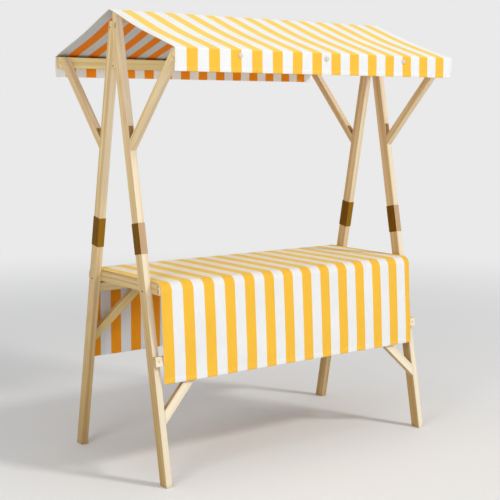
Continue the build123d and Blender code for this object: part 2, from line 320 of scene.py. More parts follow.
def make_brushed_paint():
    """Brush marks drawn out along a direction, with thin places where the paint is rubbed."""
    group, n, given, out = node_group(
        "brushed_paint",
        [("Along", VECTOR, (0, 0, 1)), ("Across", VECTOR, (0, 1, 0)), ("Through", VECTOR, (1, 0, 0))],
        [("Marks", FLOAT), ("Rubbed", FLOAT)],
    )
    place = n.add("ShaderNodeTexCoord").outputs["Object"]
    along, across, through = (n.vector_math("DOT_PRODUCT", place, given[k])
                              for k in ("Along", "Across", "Through"))
    drawn = n.combine(n.math("MULTIPLY", along, 9.0), n.math("MULTIPLY", across, 260.0),
                      n.math("MULTIPLY", through, 260.0))
    marks = n.noise(drawn, 1.0, detail=3.0, roughness=0.55)
    n.feed(out["Marks"], marks)
    cloudy = n.noise(place, 38.0, detail=4.0)
    n.feed(out["Rubbed"], n.math("MULTIPLY", n.remap(cloudy, 0.50, 0.70), n.remap(marks, 0.40, 0.62)))
    return group


pine_grain = make_pine_grain()
ground_soil = make_ground_soil()
canvas_weave = make_canvas_weave()
brushed_paint = make_brushed_paint()


# Materials.
def cross_axes(along):
    """Two directions square to the grain, the first as level as can be."""
    along = Vector(along).normalized()
    guide = Vector((0, 0, 1)) if abs(along.z) < 0.7 else Vector((0, 1, 0))
    through = along.cross(guide).normalized()
    return along, through.cross(along).normalized(), through


def pine(name, along, painted_tone=PINE_PAINTED_SUNLIT, inner=None):
    """Planed pine with its grain along one direction.

    Faces that look front and back are made paler with painted sunlight, low down only those that look out,
    while low faces that look in get painted shade. Where a tone for the inner faces is given, those that look
    in take it as their painted light, down to the ground.
    """
    material, n, shader = new_material(name)
    along, across, through = cross_axes(along)
    grain = place_group(n, pine_grain, Along=along, Across=across, Through=through)
    soil = place_group(n, ground_soil, Reach=0.035)

    colour = n.mix(n.math("MULTIPLY", grain["Streaks"], 0.75), PINE_PALE, PINE_TAN)
    colour = n.mix(n.math("MULTIPLY", grain["Pink"], 0.50), colour, PINE_PINK)
    colour = n.mix(n.math("MULTIPLY", grain["Rings"], 0.26), colour, PINE_RING)
    colour = n.mix(n.remap(grain["Fibres"], 0.35, 0.70, 0.0, 0.16), colour, PINE_FIBRE)
    surface = n.add("ShaderNodeTexCoord")
    facing, place = (n.add("ShaderNodeSeparateXYZ") for _ in range(2))
    n.feed(facing.inputs[0], surface.outputs["Normal"])
    n.feed(place.inputs[0], surface.outputs["Object"])
    # Painted light: faces that look front or back are made paler, as if lit by the sun.
    painted_sunlit = n.remap(n.math("ABSOLUTE", facing.outputs["Y"]), 0.55, 0.85, smooth=True)
    away_from_middle = n.math("MULTIPLY", facing.outputs["Y"], place.outputs["Y"])
    looks_out = n.remap(away_from_middle, -0.02, 0.02, smooth=True)
    if inner:
        painted_tone = n.mix(looks_out, inner, painted_tone)
        looks_out = 1.0
    # Low down, painted light grows on faces that look out and painted shade falls on faces that look in.
    low_painted_light = n.math("MULTIPLY", soil["Darker Low"], n.remap(looks_out, 0.0, 1.0, -0.45, 0.32))
    painted_light_share = n.math("ADD", low_painted_light, n.remap(grain["Streaks"], 0.0, 1.0, 0.62, 0.42))
    colour = n.mix(n.math("MULTIPLY", painted_sunlit, painted_light_share), colour, painted_tone)
    # The darkening toward the ground spares faces that look out and carry painted sunlight.
    darkening_allowed = n.remap(n.math("MULTIPLY", painted_sunlit, looks_out), 0.0, 1.0, 1.0, 0.0)
    low_darkening = n.math("MULTIPLY", soil["Darker Low"], darkening_allowed)
    colour = n.mix(low_darkening, colour, PINE_DARKER_LOW, blend="MULTIPLY")
    colour = n.mix(n.math("MULTIPLY", grain["Knots"], 0.75), colour, KNOT_BROWN)
    colour = n.mix(n.math("MULTIPLY", soil["Mask"], 0.38), colour, SOIL_BROWN)
    n.feed(shader["Base Color"], colour)
    n.feed(shader["Roughness"], n.remap(grain["Fibres"], 0.30, 0.75, 0.48, 0.66))
    shader["Specular IOR Level"].default_value = 0.35

    height = n.math("MULTIPLY_ADD", grain["Fibres"], 0.7, n.math("MULTIPLY", grain["Rings"], 0.5))
    n.feed(shader["Normal"], bump(n, height, 0.25 * MM, 0.55))
    return material


def canvas(name, start, width, first_coloured, pale, coloured, sheen, beyond=None):
    """Yellow and white cotton canvas.

    With beyond = (from, to, turn, pale, coloured), the ends of the sheet before and after have other colours.
    """
    material, n, shader = new_material(name)
    weave = place_group(n, canvas_weave, Stripe_Start=start, Stripe_Width=width,
                        First_Coloured=first_coloured)
    colour = n.mix(weave["Stripe"], pale, coloured)
    if beyond:
        split = n.add("ShaderNodeSeparateXYZ")
        n.feed(split.inputs[0], n.add("ShaderNodeUVMap", uv_map="cloth_metres").outputs[0])
        first_edge, last_edge, turn, end_pale, end_coloured = beyond
        first, last = (n.remap(split.outputs["Y"], edge - reach, edge + reach, smooth=True)
                       for edge, reach in ((first_edge, -turn), (last_edge, turn)))
        end_colour = n.mix(weave["Stripe"], end_pale, end_coloured)
        colour = n.mix(n.math("MAXIMUM", first, last), colour, end_colour)
    slubs = n.remap(weave["Slubs"], 0.25, 0.75, 0.93, 1.03)
    fade = n.remap(weave["Fade"], 0.30, 0.70, 0.965, 1.02)
    tone = n.math("MULTIPLY", slubs, fade)
    colour = n.mix(1.0, colour, n.combine(tone, tone, tone), blend="MULTIPLY")
    n.feed(shader["Base Color"], colour)
    n.feed(shader["Roughness"], n.remap(weave["Slubs"], 0.2, 0.8, 0.78, 0.94))
    shader["Specular IOR Level"].default_value = 0.20
    shader["Sheen Weight"].default_value = sheen
    shader["Sheen Roughness"].default_value = 0.40
    shader["Sheen Tint"].default_value = CANVAS_SHEEN
    height = n.math("MULTIPLY_ADD", weave["Threads"], 0.5, n.math("MULTIPLY", weave["Slubs"], 1.2))
    n.feed(shader["Normal"], bump(n, height, 0.20 * MM, 0.5))
    return material


def brown_steel(name, along, dark, light, out=0):
    """Brown enamel brushed on sheet steel.

    Where out is -1 (front) or 1 (rear), the face that looks that way gets a pale painted highlight, and the
    one behind it a lighter brown of painted light.
    """
    material, n, shader = new_material(name)
    along, across, through = cross_axes(along)
    paint = place_group(n, brushed_paint, Along=along, Across=across, Through=through)
    colour = n.mix(n.remap(paint["Marks"], 0.35, 0.65), dark, light)
    colour = n.mix(n.math("MULTIPLY", paint["Rubbed"], 0.6), colour, STEEL_WORN)
    facing = n.vector_math("DOT_PRODUCT", n.add("ShaderNodeTexCoord").outputs["Normal"], (0, out, 0))
    # Painted light: the face that looks in is painted a lighter brown.
    colour = n.mix(n.remap(facing, -0.70, -0.95, 0.0, 1.0, smooth=True), colour, STEEL_MID_AND_PAINTED_LIGHT)
    # Painted highlight: the face that looks out is painted pale.
    rubbed = n.remap(facing, 0.70, 0.95, 0.0, 1.0, smooth=True)
    rubbed = n.math("MULTIPLY", rubbed, n.remap(paint["Marks"], 0.30, 0.70, 0.62, 0.92))
    colour = n.mix(rubbed, colour, STEEL_PAINTED_HIGHLIGHT)
    n.feed(shader["Base Color"], colour)
    n.feed(shader["Roughness"], n.remap(paint["Marks"], 0.30, 0.70, 0.42, 0.58))
    shader["Specular IOR Level"].default_value = 0.05
    shader["Specular Tint"].default_value = STEEL_GLOSS
    n.feed(shader["Normal"], bump(n, paint["Marks"], 0.15 * MM, 0.5))
    return material


def screw_metal(name, fresh, rubbed, metallic):
    """Screw steel, blackened or brassed, with a little wear."""
    material, n, shader = new_material(name)
    place = n.add("ShaderNodeTexCoord").outputs["Object"]
    worn = n.remap(n.noise(place, 900.0, detail=2.0), 0.50, 0.72)
    n.feed(shader["Base Color"], n.mix(worn, fresh, rubbed))
    n.feed(shader["Roughness"], n.remap(worn, 0.0, 1.0, 0.38, 0.60))
    shader["Metallic"].default_value = metallic
    n.feed(shader["Normal"], bump(n, n.noise(place, 2400.0), 0.05 * MM, 0.4))
    return material


def button_shell(name):
    """Cream moulded buttons with a faint turned ring."""
    material, n, shader = new_material(name)
    place = n.add("ShaderNodeTexCoord").outputs["Object"]
    cloudy = n.noise(place, 160.0, detail=3.0)
    n.feed(shader["Base Color"], n.mix(n.remap(cloudy, 0.35, 0.70), BUTTON_PALE, BUTTON_CLOUD))
    n.feed(shader["Roughness"], n.remap(cloudy, 0.3, 0.7, 0.34, 0.48))
    shader["Coat Weight"].default_value = 0.2
    n.feed(shader["Normal"], bump(n, n.noise(place, 700.0, detail=2.0), 0.06 * MM, 0.4))
    return material


def cotton_thread(name):
    """Twisted cotton thread."""
    material, n, shader = new_material(name)
    place = n.add("ShaderNodeTexCoord").outputs["Object"]
    twist = n.noise(place, 1800.0, detail=2.0)
    n.feed(shader["Base Color"], n.mix(n.remap(twist, 0.35, 0.70), THREAD_PALE, THREAD_SHADE))
    shader["Roughness"].default_value = 0.8
    n.feed(shader["Normal"], bump(n, twist, 0.08 * MM, 0.6))
    return material


def up_leg(end):
    """Direction up a front or rear leg."""
    return Vector((0, -outward[end] * math.sin(leg_lean), math.cos(leg_lean)))


def dress(node, material):
    """A carried-over piece takes one finish all over."""
    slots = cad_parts[node].material_slots
    if len(slots) == 0:
        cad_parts[node].data.materials.append(material)
    for slot in slots:
        slot.material = material


def dress_timbers_and_steel():
    """Grain runs along each timber, and brush marks run along the legs."""
    level_pine = pine("pine_along_stall", (1, 0, 0))
    deep_pine = pine("pine_across_stall", (0, 1, 0))
    for node in ("ridge_beam", "counter_boards", "front_counter_rail", "rear_counter_rail"):
        dress(node, level_pine)
    eave_pine = pine("pine_eave_rail", (1, 0, 0), painted_tone=PINE_EAVE_PAINTED_SUNLIT)
    stretcher_pine = pine("pine_stretcher", (1, 0, 0), inner=PINE_INNER_PAINTED_LIGHT)
    for end in outward:
        dress(f"{end}_eave_rail", eave_pine)
        dress(f"{end}_stretcher", stretcher_pine)
    upright_pine = pine("pine_upright", (0, 0, 1))
    for node in ("left_apex_block", "right_apex_block"):
        dress(node, upright_pine)
    for node in ("left_side_rail", "right_side_rail", "left_counter_batten", "middle_counter_batten",
                 "right_counter_batten"):
        dress(node, deep_pine)

    for end in outward:
        up = up_leg(end)
        leg_pine = pine(f"pine_{end}_leg", up)
        sleeve_steel = brown_steel(f"steel_{end}_sleeve", up, STEEL_BROWN, STEEL_LIGHT, out=outward[end])
        bracket_steel = brown_steel(f"steel_{end}_bracket", up, STEEL_MID_AND_PAINTED_LIGHT, STEEL_BRACKET)
        brace_lo, brace_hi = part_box(f"left_{end}_roof_brace")
        brace_rise = Vector((0, outward[end] * (brace_hi.y - brace_lo.y), brace_hi.z - brace_lo.z))
        brace_pine = pine(f"pine_{end}_roof_brace", brace_rise)
        for side in towards:
            dress(f"{side}_{end}_leg_lower", leg_pine)
            dress(f"{side}_{end}_leg_upper", leg_pine)
            dress(f"{side}_{end}_leg_sleeve", sleeve_steel)
            dress(f"{side}_{end}_brace_bracket", bracket_steel)
            dress(f"{side}_{end}_roof_brace", brace_pine)
            knee_rise = Vector((-towards[side], 0, 0)) + up
            dress(f"{side}_{end}_knee_brace", pine(f"pine_{side}_{end}_knee", knee_rise, inner=PINE_SHADED))

    shell = button_shell("button_shell")
    for end in outward:
        dress(f"{end}_valance_buttons", shell)


# Fabric.
class RoundedPath:
    """A run of straight lines in the Y-Z plane with rounded corners, measured along its length.

    Each part is (begin, end, origin, heading, radius): a straight part has its start as origin and no
    radius, and a bend has its centre as origin and the heading with which the path arrives.
    """

    def __init__(self, corners, radii):
        corners = [Vector(c) for c in corners]
        self.parts, self.corner_at, self.length = [], [0.0], 0.0
        start = corners[0]
        for before, corner, after, radius in zip(corners, corners[1:], corners[2:], radii):
            arrive, leave = (corner - before).normalized(), (after - corner).normalized()
            turn = arrive.angle(leave)
            tangent = radius * math.tan(turn / 2)
            self._line(start, corner - arrive * tangent)
            centre = corner - arrive * tangent + Vector((arrive.y, -arrive.x)) * radius
            self.parts.append((self.length, self.length + radius * turn, centre, arrive, radius))
            self.corner_at.append(self.length + radius * turn / 2)
            self.length += radius * turn
            start = corner + leave * tangent
        self._line(start, corners[-1])
        self.corner_at.append(self.length)

    def _line(self, start, end):
        span = (end - start).length
        self.parts.append((self.length, self.length + span, start, (end - start).normalized(), 0.0))
        self.length += span

    def at(self, distance):
        """Point and outward normal, both as (y, z), at a distance from the first hem."""
        for begin, end, origin, heading, radius in self.parts:
            if distance <= end + 1e-9:
                break
        normal = Vector((-heading.y, heading.x))
        if not radius:
            return origin + heading * (distance - begin), normal
        angle = (distance - begin) / radius
        cosine, sine = math.cos(angle), math.sin(angle)
        turned = Vector((normal.x * cosine + normal.y * sine, -normal.x * sine + normal.y * cosine))
        return origin + turned * radius, turned

    def stations(self, step, from_hem, bend_step=2.5 * MM):
        """Distances of the rows of vertices: even on the straights, close on the bends and hems."""
        marks = set(from_hem) | {self.length - distance for distance in from_hem}
        for begin, end, _, _, radius in self.parts:
            fewest, spacing = (6, bend_step) if radius else (2, step)
            pieces = max(fewest, round((end - begin) / spacing))
            marks.update(begin + (end - begin) * k / pieces for k in range(pieces + 1))
        return thin_out(marks)


def thin_out(marks, closest=0.3 * MM):
    """Sorted distances without near doubles."""
    kept = []
    for mark in sorted(marks):
        if not kept or mark - kept[-1] > closest:
            kept.append(mark)
    return kept


def columns(half, step, from_edge):
    """Places of the columns of vertices between -half and half, closer at both side hems."""
    count = round(2 * half / step)
    marks = {-half + 2 * half * k / count for k in range(count + 1)}
    return thin_out(marks | {side * (half - distance) for side in (-1, 1) for distance in from_edge})


def edge_marks(hem, *more):
    """Distances from an edge at which the vertices follow the step of its hem."""
    return (3 * MM, hem - hem_step, hem - hem_step / 2, hem, *more)


def bell(value):
    """Smooth step from 0 to 1."""
    value = min(1.0, max(0.0, value))
    return value * value * (3 - 2 * value)


def ripple(x, waves):
    """Sum of sine waves, each (wavelength, share, phase)."""
    return sum(share * math.sin(2 * math.pi * x / length + phase) for length, share, phase in waves)


def new_piece(name, vertices, faces, material):
    """A smooth piece that rides with the stall."""
    mesh = bpy.data.meshes.new(name)
    mesh.from_pydata(vertices, [], faces)
    mesh.materials.append(material)
    for polygon in mesh.polygons:
        polygon.use_smooth = True
    piece = bpy.data.objects.new(name, mesh)
    bpy.context.collection.objects.link(piece)
    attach(piece, "root")
    return piece


def build_sheet(name, path, xs, stations, lift, thickness, face, under):
    """Two-sided sheet: lift(x, s) moves it off its path, thickness(x, s) swells it at the hems."""

    def middle(x, s):
        (y, z), (ny, nz) = path.at(s)
        off = lift(x, s)
        return Vector((x, y + ny * off, z + nz * off))

    grid = [[middle(x, s) for x in xs] for s in stations]
    rows, cols = len(stations), len(xs)
    outer, inner = [], []
    for i in range(rows):
        for j in range(cols):
            along_x = grid[i][min(j + 1, cols - 1)] - grid[i][max(j - 1, 0)]
            along_s = grid[min(i + 1, rows - 1)][j] - grid[max(i - 1, 0)][j]
            normal = along_x.cross(along_s).normalized()
            half = thickness(xs[j], stations[i]) - canvas_thickness / 2
            outer.append(grid[i][j] + normal * half)
            inner.append(grid[i][j] - normal * canvas_thickness / 2)

    def corner(i, j):
        return i * cols + j

    total = rows * cols
    faces, finishes = [], []
    for i in range(rows - 1):
        for j in range(cols - 1):
            ring = (corner(i, j), corner(i, j + 1), corner(i + 1, j + 1), corner(i + 1, j))
            faces.append(ring)
            faces.append(tuple(total + k for k in reversed(ring)))
            finishes += [0, 1]
    rim = [corner(0, j) for j in range(cols)]
    rim += [corner(i, cols - 1) for i in range(1, rows)]
    rim += [corner(rows - 1, j) for j in range(cols - 2, -1, -1)]
    rim += [corner(i, 0) for i in range(rows - 2, 0, -1)]
    for a, b in zip(rim, rim[1:] + rim[:1]):
        faces.append((b, a, total + a, total + b))
        finishes.append(0)

    mesh = bpy.data.meshes.new(name)
    mesh.from_pydata(outer + inner, [], faces)
    layer = mesh.uv_layers.new(name="cloth_metres")
    flat = [(xs[j], stations[i]) for i in range(rows) for j in range(cols)]
    for loop in mesh.loops:
        layer.data[loop.index].uv = flat[loop.vertex_index % total]
    mesh.materials.append(face)
    mesh.materials.append(under)
    for polygon, finish in zip(mesh.polygons, finishes):
        polygon.material_index = finish
        polygon.use_smooth = True
    mesh.update()
    sheet = bpy.data.objects.new(name, mesh)
    bpy.context.collection.objects.link(sheet)
    return sheet, middle


def sew(name, rows, surface, raise_by, material):
    """Stitches laid on a sheet: each row runs between two (x, s) places in evenly spaced short bars."""
    stitch, gap, radius = 3.4 * MM, 1.2 * MM, 0.35 * MM
    end_height, sides = 0.55, 6
    bulges = ((0.0, 0.15), (0.25, 1.0), (0.75, 1.0), (1.0, 0.15))       # share of the length, of the radius
    vertices, faces = [], []
    for (x0, s0), (x1, s1) in rows:
        span = math.hypot(x1 - x0, s1 - s0)
        count = int(span / (stitch + gap))
        step_x, step_s = (x1 - x0) / count, (s1 - s0) / count
        share = stitch / (stitch + gap)
        for k in range(count):
            here = (x0 + step_x * k, s0 + step_s * k)
            there = (here[0] + step_x * share, here[1] + step_s * share)
            a, b = surface(*here), surface(*there)
            side = surface(here[0] + step_s, here[1] - step_x) - a
            along = (b - a).normalized()
            up = side.cross(along).normalized()
            up = up if up.dot(outward_of(surface, here)) > 0 else -up
            across = along.cross(up)
            first = len(vertices)
            for t, swell in bulges:
                centre = a.lerp(b, t) + up * raise_by * (1 if 0 < t < 1 else end_height)
                for turn in range(sides):
                    angle = 2 * math.pi * turn / sides
                    offset = across * math.cos(angle) + up * math.sin(angle)
                    vertices.append(centre + offset * radius * swell)
            join_rings(faces, first, len(bulges), sides, inward=True)
            faces.append(tuple(first + turn for turn in reversed(range(sides))))
            last = first + (len(bulges) - 1) * sides
            faces.append(tuple(last + turn for turn in range(sides)))
    return new_piece(name, vertices, faces, material)


def outward_of(surface, place, reach=1.0 * MM):
    """Outward normal of a sheet's surface at a place."""
    x, s = place
    ahead = surface(x + reach, s) - surface(x - reach, s)
    above = surface(x, s + reach) - surface(x, s - reach)
    return ahead.cross(above)


def hem_swell(x, s, half_length, path_length, end_hem, side_hem):
    """Thickness of a sheet: more inside its hems, with a soft step."""
    from_end = min(s, path_length - s)
    from_side = half_length - abs(x)
    folded = max(bell((end_hem - from_end) / hem_step), bell((side_hem - from_side) / hem_step))
    return canvas_thickness + hem_extra * folded


def hem_rows(half, length, side_row, end_row, row_end=4 * MM):
    """Where the stitches of the four hems run: two along the sides, then two along the ends."""
    near_side, far_side = -half + side_row, half - side_row
    rows = [((x, row_end), (x, length - row_end)) for x in (near_side, far_side)]
    return rows + [((-half + row_end, s), (half - row_end, s)) for s in (end_row, length - end_row)]


def make_canopy(thread):
    """Striped roof cloth over the ridge, with straight valances, lying on the eave rails and ridge beam."""
    inset = solid_sheet / 2
    out, low = canopy_hi.y - inset, canopy_lo.z
    slope = roof_rise / canopy_hi.y
    ridge = canopy_hi.z - inset * math.hypot(1, slope)
    fold = ridge - out * slope
    path = RoundedPath([(-out, low), (-out, fold), (0, ridge), (out, fold), (out, low)],
                       [5 * MM, 12 * MM, 5 * MM])
    front_fold, ridge_line, rear_fold = path.corner_at[1:4]
    half = canopy_hi.x
    bottom_hem, gable_hem, turn = 16 * MM, 12 * MM, 4 * MM
    held_depth = fold - rail_lo.z               # how far the rail backs the valance
    free_drop = rail_lo.z - low
    sag, roof_ripple = 6.0 * MM, 1.4 * MM
    swing, belly, curl, curl_reach = 2.6 * MM, 0.9 * MM, 4.5 * MM, 34 * MM
    buttons = [-button_spacing, 0.0, button_spacing]
    button_lo, button_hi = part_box("front_valance_buttons")
    button_down = fold - (button_lo.z + button_hi.z) / 2
    button_pinch, pinch_spread = 1.0 * MM, 26 * MM / 2.2
    front_waves = [(0.47, 0.45, 0.6), (0.255, 0.35, 2.1), (0.131, 0.20, 4.0)]
    rear_waves = [(0.41, 0.45, 3.0), (0.230, 0.35, 0.4), (0.145, 0.20, 5.1)]
    roof_waves = [(0.62, 0.5, 1.0), (0.36, 0.3, 3.9), (0.21, 0.2, 0.2)]

    def lift(x, s):
        if s < front_fold or s > rear_fold:
            front = s < front_fold
            down = front_fold - s if front else s - rear_fold
            free = max(0.0, down - held_depth) / free_drop
            wave = ripple(x, front_waves if front else rear_waves)
            off = swing * free ** 1.3 * wave
            off += belly * bell(down / held_depth) * (0.6 + 0.4 * wave)
            for button in buttons:
                away = (x - button) ** 2 + (down - button_down) ** 2
                off -= button_pinch * math.exp(-away / (2 * pinch_spread ** 2))
            corner = bell((abs(x) - (half - curl_reach)) / curl_reach)
            return off - curl * corner ** 2 * bell(free * 1.4)
        share = (s - front_fold) / (ridge_line - front_fold)
        share = share if share <= 1 else (rear_fold - s) / (rear_fold - ridge_line)
        dip = math.sin(math.pi * share) ** 2
        return -dip * (sag + roof_ripple * ripple(x + 0.25 * share, roof_waves))

    def thickness(x, s):
        return hem_swell(x, s, half, path.length, bottom_hem, gable_hem)

    xs = columns(half, 10 * MM, edge_marks(gable_hem, 25 * MM))
    stations = path.stations(9 * MM, edge_marks(bottom_hem))
    # The roof slopes take the painted-light colours; the valances keep the canvas colours.
    face = canvas("canvas_canopy", -half, stripe_width_canopy, 0.0, ROOF_PAINTED_LIGHT_WHITE, ROOF_PAINTED_LIGHT_YELLOW, 0.20,
                  beyond=(front_fold, rear_fold, turn, CANVAS_WHITE, CANVAS_YELLOW))
    # Underside of the canopy: painted shade under the roof, painted light on the inner faces of the valances.
    under = canvas("canvas_canopy_under", -half, stripe_width_canopy, 0.0, ROOF_UNDER_PAINTED_SHADE_WHITE,
                   ROOF_UNDER_PAINTED_SHADE_ORANGE, 0.0,
                   beyond=(front_fold, rear_fold, turn, VALANCE_UNDER_PAINTED_LIGHT_WHITE, VALANCE_UNDER_PAINTED_LIGHT_ORANGE))
    sheet, surface = build_sheet("canopy_cloth", path, xs, stations, lift, thickness, face, under)

    rows = hem_rows(half, path.length, gable_hem - stitch_from_fold, bottom_hem - stitch_from_fold)
    stitching = sew("canopy_stitching", rows, surface, canvas_thickness / 2 + hem_extra, thread)

    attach(sheet, "root")
    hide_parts("canopy")


def make_tablecloth(thread):
    """Striped cloth over the counter: round shoulders, a front drape on the stretcher, a free rear drape."""
    inset = solid_sheet / 2
    top = cloth_hi.z - inset
    low = cloth_lo.z
    half = cloth_hi.x
    shoulder = 36.0 * MM
    clearance = 0.3 * MM
    radius = shoulder + clearance + inset
    shoulder_y = side_rail_hi.y - shoulder
    shoulder_z = side_rail_hi.z - shoulder
    rear_y = cloth_hi.y - inset
    hem_y = -cloth_lo.y - inset
    past, below = hem_y - shoulder_y, shoulder_z - low
    slant = math.atan2(past, below) - math.asin(radius / math.hypot(past, below))
    corner_y = -(hem_y - (top - low) * math.tan(slant))
    path = RoundedPath([(-hem_y, low), (corner_y, top), (rear_y, top), (rear_y, low)], [radius, radius])
    front_shoulder, rear_shoulder = path.corner_at[1:3]
    drape = front_shoulder - radius * 0.8                # from the hem up to where the shoulder begins
    bottom_hem, side_hem = 18 * MM, 10 * MM
    touch = (stretcher_lo.z - low) / math.cos(slant)     # from the hem up to the stretcher's corner
    front_swing, front_belly, rear_swing = 3.2 * MM, 1.5 * MM, 6.5 * MM
    edge_reach, edge_curl, top_softness = 45 * MM, 2.0 * MM, 0.5 * MM
    front_waves = [(0.52, 0.45, 1.2), (0.31, 0.35, 4.4), (0.170, 0.20, 2.0)]
    rear_waves = [(0.37, 0.50, 0.3), (0.225, 0.32, 2.6), (0.140, 0.18, 4.9)]
    top_waves = [(0.55, 0.6, 0.9), (0.29, 0.4, 2.2)]

    def lift(x, s):
        edge = bell((abs(x) - (half - edge_reach)) / edge_reach)
        if s < drape:
            wave = ripple(x, front_waves)
            if s < touch:
                loose = (touch - s) / touch
                plumb = -(touch - s) * math.tan(slant) * 0.7
                swing = front_swing * loose ** 1.2 * (wave + 0.2)
                return plumb + swing - edge_curl * edge ** 2 * loose
            share = (s - touch) / (drape - touch)
            belly = math.sin(math.pi * share) ** 1.5
            return belly * (front_belly * (0.4 + wave) - edge_curl * edge ** 2)
        rear_drape = path.length - s
        if rear_drape < drape:
            loose = 1 - rear_drape / drape
            return rear_swing * loose ** 1.4 * (0.55 + 0.5 * ripple(x, rear_waves))
        flat = math.sin(math.pi * min(1.0, max(0.0, (s - drape) / (path.length - 2 * drape))))
        soft = ripple(x + 0.4 * s, top_waves) * 0.5 + 0.5
        return top_softness * flat * soft

    def thickness(x, s):
        return hem_swell(x, s, half, path.length, bottom_hem, side_hem)

    xs = columns(half, 9 * MM, edge_marks(side_hem, 22 * MM))
    stations = path.stations(9 * MM, edge_marks(bottom_hem))
    # The tabletop between the shoulders takes the warm painted light; the drapes keep the canvas colours.
    face = canvas("canvas_tablecloth", -half, stripe_width_cloth, 1.0, COUNTER_PAINTED_LIGHT_WHITE, COUNTER_PAINTED_LIGHT_YELLOW, 0.35,
                  beyond=(front_shoulder + radius / 2, rear_shoulder - radius / 2, radius / 2,
                          CANVAS_WHITE, CANVAS_YELLOW))
    # The underside of the tablecloth takes the painted-shade colours.
    under = canvas("canvas_tablecloth_under", -half, stripe_width_cloth, 1.0, CLOTH_UNDER_PAINTED_SHADE_WHITE,
                   CLOTH_UNDER_PAINTED_SHADE_ORANGE, 0.0)
    sheet, surface = build_sheet("counter_cloth", path, xs, stations, lift, thickness, face, under)

    rows = hem_rows(half, path.length, side_hem - 3.0 * MM, bottom_hem - stitch_from_fold)
    stitching = sew("counter_cloth_stitching", rows, surface, canvas_thickness / 2 + hem_extra, thread)

    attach(sheet, "root")
    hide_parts("tablecloth")


# Screws, pins and buttons.
def join_rings(faces, first, rings, turns, inward=False):
    """Adds the faces between neighbouring rings of vertices."""
    for ring in range(rings - 1):
        for turn in range(turns):
            p = first + ring * turns + turn
            q = first + ring * turns + (turn + 1) % turns
            face = (p, p + turns, q + turns, q)
            faces.append(face[:1] + face[:0:-1] if inward else face)


def screw_head(vertices, faces, centre, normal, radius):
    """Adds a low domed head with a cross recess, standing on a surface."""
    normal = Vector(normal).normalized()
    guide = Vector((0, 0, 1)) if abs(normal.z) < 0.9 else Vector((1, 0, 0))
    side = normal.cross(guide).normalized()
    up = side.cross(normal)
    rings, turns = (0.0, 0.12, 0.24, 0.36, 0.48, 0.58, 0.72, 0.86, 0.96, 1.0), 32
    dome, recess, sunk = 0.46, 0.34, 0.15       # heights, as shares of the radius
    half_arm, arm_reach = 0.13, 0.53            # of the cross
    first = len(vertices)
    for share in rings:
        for turn in range(turns):
            angle = 2 * math.pi * turn / turns
            a, b = share * math.cos(angle), share * math.sin(angle)
            height = dome * radius * math.sqrt(max(0.0, 1 - share ** 2.6))
            if min(abs(a), abs(b)) < half_arm and share < arm_reach:
                height -= recess * radius
            if share == 1.0:
                height -= sunk * radius
            vertices.append(Vector(centre) + (side * a + up * b) * radius + normal * height)
    join_rings(faces, first, len(rings), turns)
    last = first + (len(rings) - 1) * turns
    faces.append(tuple(last + turn for turn in reversed(range(turns))))


def slotted_pin(vertices, faces, centre, way):
    """Adds a tall flat pin head with rounded ends, standing on the gable side of a leg."""
    half_height, radius, turns = 9.0 * MM, 2.6 * MM, 32
    rings = ((1.0, -0.3), (1.0, 0.6), (0.86, 1.0), (0.45, 0.75), (0.0, 0.7))    # share of radius, mm up
    first = len(vertices)
    for share, height in rings:
        for turn in range(turns):
            angle = 2 * math.pi * (turn + 0.5) / turns
            end = half_height if angle < math.pi else -half_height
            y = radius * share * math.cos(angle) * way
            z = end + radius * share * math.sin(angle)
            vertices.append(Vector(centre) + Vector((way * height * MM, y, z)))
    join_rings(faces, first, len(rings), turns, inward=True)


def outer_edge(height):
    """Distance of a leg's outer edge from the middle of the stall."""
    return -leg_lo.y - height * math.tan(leg_lean)


def leg_middle(height):
    """Distance of a leg's middle line from the middle of the stall."""
    return outer_edge(height) - leg_width / math.cos(leg_lean) / 2


